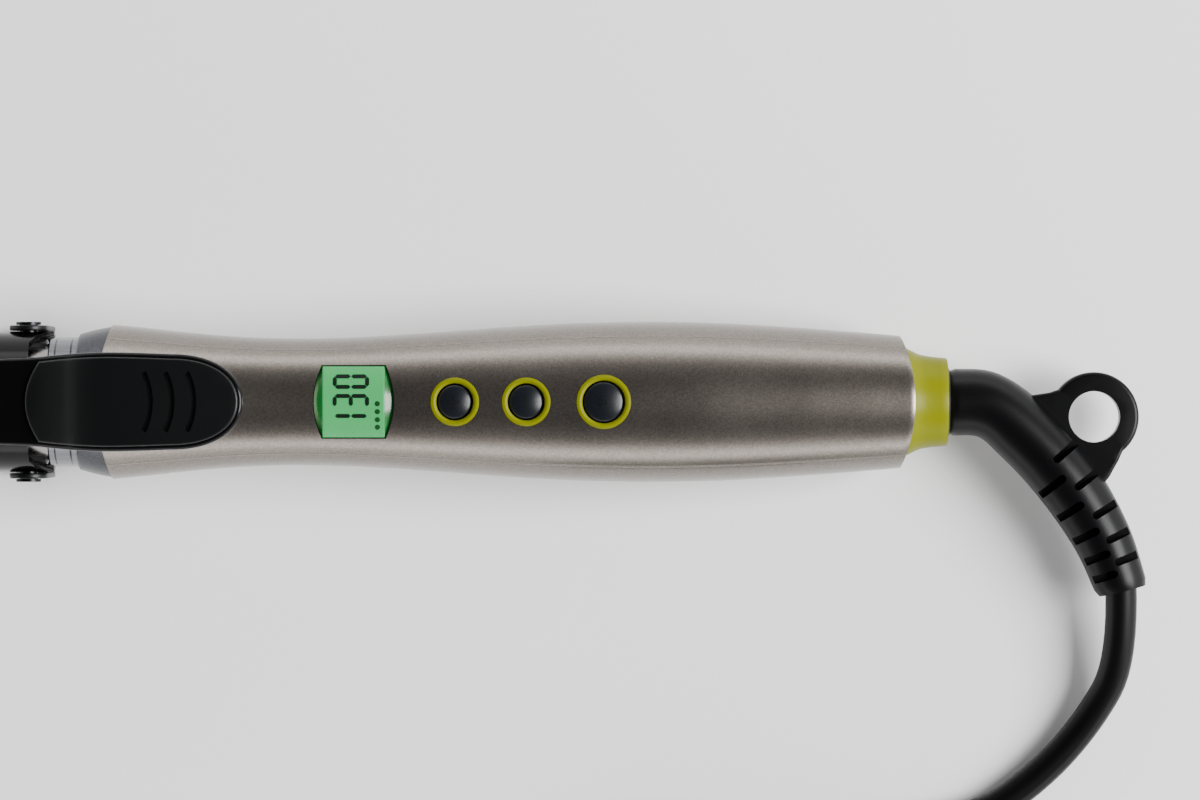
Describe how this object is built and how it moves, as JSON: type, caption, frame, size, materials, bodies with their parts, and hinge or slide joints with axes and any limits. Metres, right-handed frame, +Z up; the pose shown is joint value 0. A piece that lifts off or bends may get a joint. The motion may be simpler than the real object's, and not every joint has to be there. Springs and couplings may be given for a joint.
{
  "type": "curling iron",
  "caption": "Curling iron with a round heated barrel, sprung clip with thumb lever, tapered handle with display and push buttons, folding rest stand and swivel cord.",
  "frame": {"origin": "centre of the bottom of the iron's bounding box without its cord, on the surface that the stand's foot and the handle's rear underside rest on", "axes": "+X along the iron from the barrel to the cord, +Z up with the control face on top, +Y to the left seen from the cord end"},
  "size_m": [0.397, 0.2273, 0.0511],
  "materials": {
    "handle_grey": "fine metallic lacquer",
    "cap_grey": "dark metallic lacquer",
    "lime": "gloss",
    "black_gloss": "gloss",
    "black_satin": "satin",
    "button_grey": "satin",
    "bright_metal": "polished",
    "barrel_metal": "ceramic coated",
    "tong_metal": "ceramic coated",
    "steel": "satin",
    "core_metal": "as extruded",
    "ceramic": "ceramic",
    "sensor_dark": "matte",
    "board_green": "solder mask",
    "display_green": "backlit",
    "window_clear": "clear tinted",
    "brass": "plain",
    "hub_black": "matte",
    "cord_black": "satin"
  },
  "bodies": {
    "handle": {"barrel_ferrule": "bright_metal", "barrel_tip": "black_satin", "barrel_tube": "barrel_metal", "board_components": "sensor_dark", "board_screws": "steel", "brush_holder": "hub_black", "circuit_board": "board_green", "contact_brushes": "brass", "cord_coil": "cord_black", "cord_tail": "cord_black", "display_module": "display_green", "display_window": "window_clear", "front_cap": "cap_grey", "handle_lower_shell": "handle_grey", "handle_upper_shell": "handle_grey", "heater_core_lower": "core_metal", "heater_core_upper": "core_metal", "heater_leads": "cord_black", "heating_element": "ceramic", "hinge_bracket": "steel", "housing_screws": "steel", "insulating_disc": "ceramic", "mains_leads": "cord_black", "minus_ring": "lime", "pivot_pins": "steel", "plug_body": "cord_black", "plug_pins": "brass", "plus_ring": "lime", "power_cord": "cord_black", "power_ring": "lime", "rear_collar": "lime", "tact_switches": "sensor_dark", "temperature_sensor": "sensor_dark", "thermal_fuse": "sensor_dark"},
    "clip": {"clip_base": "black_gloss", "clip_tong": "tong_metal", "clip_rivets": "steel", "clip_lever": "black_satin", "clip_spring": "steel"},
    "stand": {"stand": "steel"},
    "cord_swivel": {"cord_guard": "black_satin", "swivel_hub": "hub_black", "contact_rings": "brass", "retaining_ring": "steel"},
    "plus_button": {"plus_button": "button_grey"},
    "minus_button": {"minus_button": "button_grey"},
    "power_button": {"power_button": "button_grey"}
  },
  "joints": [
    {"name": "clip_hinge", "type": "hinge", "parent": "handle", "child": "clip", "pos_m": [-0.02041, 0, 0.02746], "axis": [0, 1, 0], "range_deg": [0, 10], "stiffness_Nm_per_rad": 0.9, "springref_deg": -11.46, "deforming": ["clip_spring"]},
    {"name": "stand_hinge", "type": "hinge", "parent": "handle", "child": "stand", "pos_m": [-0.02041, 0, 0.02746], "axis": [0, 1, 0], "range_deg": [0, 50]},
    {"name": "cord_swivel_hinge", "type": "hinge", "parent": "handle", "child": "cord_swivel", "pos_m": [0.17651, 0, 0.01369], "axis": [-0.9976, 0, 0.0698], "continuous": true},
    {"name": "plus_press", "type": "slide", "parent": "handle", "child": "plus_button", "axis": [-0.0698, 0, -0.9976], "range_m": [0, 0.0007], "stiffness_N_per_m": 2000, "springref_m": -0.0002},
    {"name": "minus_press", "type": "slide", "parent": "handle", "child": "minus_button", "axis": [-0.0698, 0, -0.9976], "range_m": [0, 0.0007], "stiffness_N_per_m": 2000, "springref_m": -0.0002},
    {"name": "power_press", "type": "slide", "parent": "handle", "child": "power_button", "axis": [-0.0698, 0, -0.9976], "range_m": [0, 0.0007], "stiffness_N_per_m": 2000, "springref_m": -0.0002}
  ]
}
